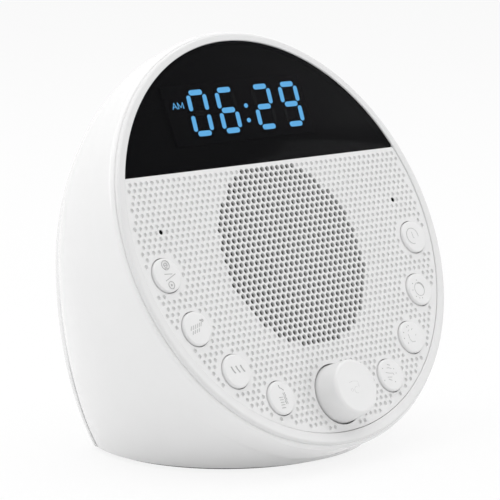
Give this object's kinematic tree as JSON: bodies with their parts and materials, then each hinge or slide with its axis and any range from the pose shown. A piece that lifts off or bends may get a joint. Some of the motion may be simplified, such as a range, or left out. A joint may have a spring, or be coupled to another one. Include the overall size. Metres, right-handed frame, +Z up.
{
  "type": "white noise sound machine",
  "caption": "Round bedside sound machine: a leaning face with a black clock window, a perforated loudspeaker plate, push buttons and a knob, on a white body with a flat foot.",
  "frame": {"origin": "on the table, under the middle of the whole machine", "axes": "+X to the machine's left seen from behind (to the right for someone facing it), the face looks towards -Y and leans back, +Z up"},
  "size_m": [0.122, 0.0837, 0.1165],
  "materials": {
    "shell": "polished white",
    "bezel": "polished white",
    "plate": "satin white",
    "lens": "polished black",
    "cloth": "woven black",
    "rubber_foot": "dull",
    "base": "fine grain",
    "screw_steel": "zinc plated",
    "knob": "satin white with a brighter rounded edge",
    "shaft_metal": "nickel plated",
    "switch_black": "matt",
    "sensor": "clear lens",
    "board": "solder mask",
    "display_body": "black face",
    "display_bars": "lit light blue",
    "speaker_steel": "zinc plated",
    "magnet": "sintered ferrite",
    "foam": "soft",
    "cone": "pressed paper",
    "coil": "enamelled copper wire",
    "socket_metal": "drawn sheet",
    "socket_tongue": "moulded",
    "cell": "bright",
    "cable": "insulated wire",
    "ribbon": "flat cable",
    "button": "satin white"
  },
  "bodies": {
    "housing": {"main_shell": "shell", "rear_cover": "shell", "front_bezel": "bezel", "grille_plate": "plate", "display_lens": "lens", "grille_cloth": "cloth", "foot_pad": "rubber_foot", "base_plate": "base", "rear_screws": "screw_steel", "base_screws": "screw_steel", "board_screws": "screw_steel", "speaker_screws": "screw_steel", "main_board_screws": "screw_steel", "encoder_body": "switch_black", "tact_switches": "switch_black", "microphone": "switch_black", "board_components": "switch_black", "light_sensor": "sensor", "key_board": "board", "display_board": "board", "main_board": "board", "led_display": "display_body", "led_segments": "display_bars", "speaker_frame": "speaker_steel", "motor_plates": "speaker_steel", "speaker_magnet": "magnet", "speaker_gasket": "foam", "speaker_surround": "foam", "speaker_spider": "cone", "usb_socket": "socket_metal", "usb_tongue": "socket_tongue", "cell_holder": "socket_tongue", "coin_cell": "cell", "speaker_leads": "cable", "display_ribbon": "ribbon", "main_ribbon": "ribbon"},
    "plunger": {"encoder_plunger": "switch_black"},
    "knob": {"volume_knob": "knob", "encoder_shaft": "shaft_metal"},
    "cone": {"speaker_cone": "cone", "dust_cap": "cone", "voice_coil": "coil"},
    "key_left_1": {"button_left_1": "button", "plunger_left_1": "switch_black"},
    "key_left_2": {"button_left_2": "button", "plunger_left_2": "switch_black"},
    "key_left_3": {"button_left_3": "button", "plunger_left_3": "switch_black"},
    "key_left_4": {"button_left_4": "button", "plunger_left_4": "switch_black"},
    "key_right_1": {"button_right_1": "button", "plunger_right_1": "switch_black"},
    "key_right_2": {"button_right_2": "button", "plunger_right_2": "switch_black"},
    "key_right_3": {"button_right_3": "button", "plunger_right_3": "switch_black"},
    "key_right_4": {"button_right_4": "button", "plunger_right_4": "switch_black"}
  },
  "joints": [
    {"name": "press_left_1", "type": "slide", "parent": "housing", "child": "key_left_1", "axis": [0, 0.91, -0.4147], "range_m": [0, 0.0005], "stiffness_N_per_m": 3200},
    {"name": "press_left_2", "type": "slide", "parent": "housing", "child": "key_left_2", "axis": [0, 0.91, -0.4147], "range_m": [0, 0.0005], "stiffness_N_per_m": 3200},
    {"name": "press_left_3", "type": "slide", "parent": "housing", "child": "key_left_3", "axis": [0, 0.91, -0.4147], "range_m": [0, 0.0005], "stiffness_N_per_m": 3200},
    {"name": "press_left_4", "type": "slide", "parent": "housing", "child": "key_left_4", "axis": [0, 0.91, -0.4147], "range_m": [0, 0.0005], "stiffness_N_per_m": 3200},
    {"name": "press_right_1", "type": "slide", "parent": "housing", "child": "key_right_1", "axis": [0, 0.91, -0.4147], "range_m": [0, 0.0005], "stiffness_N_per_m": 3200},
    {"name": "press_right_2", "type": "slide", "parent": "housing", "child": "key_right_2", "axis": [0, 0.91, -0.4147], "range_m": [0, 0.0005], "stiffness_N_per_m": 3200},
    {"name": "press_right_3", "type": "slide", "parent": "housing", "child": "key_right_3", "axis": [0, 0.91, -0.4147], "range_m": [0, 0.0005], "stiffness_N_per_m": 3200},
    {"name": "press_right_4", "type": "slide", "parent": "housing", "child": "key_right_4", "axis": [0, 0.91, -0.4147], "range_m": [0, 0.0005], "stiffness_N_per_m": 3200},
    {"name": "knob_press", "type": "slide", "parent": "housing", "child": "plunger", "axis": [0, 0.91, -0.4147], "range_m": [0, 0.0005], "stiffness_N_per_m": 8000},
    {"name": "knob_turn", "type": "hinge", "parent": "plunger", "child": "knob", "pos_m": [0, -0.03182, 0.0198], "axis": [0, -0.91, 0.4147], "continuous": true},
    {"name": "cone_travel", "type": "slide", "parent": "housing", "child": "cone", "axis": [0, -0.91, 0.4147], "range_m": [-0.001, 0.001], "stiffness_N_per_m": 1500}
  ]
}
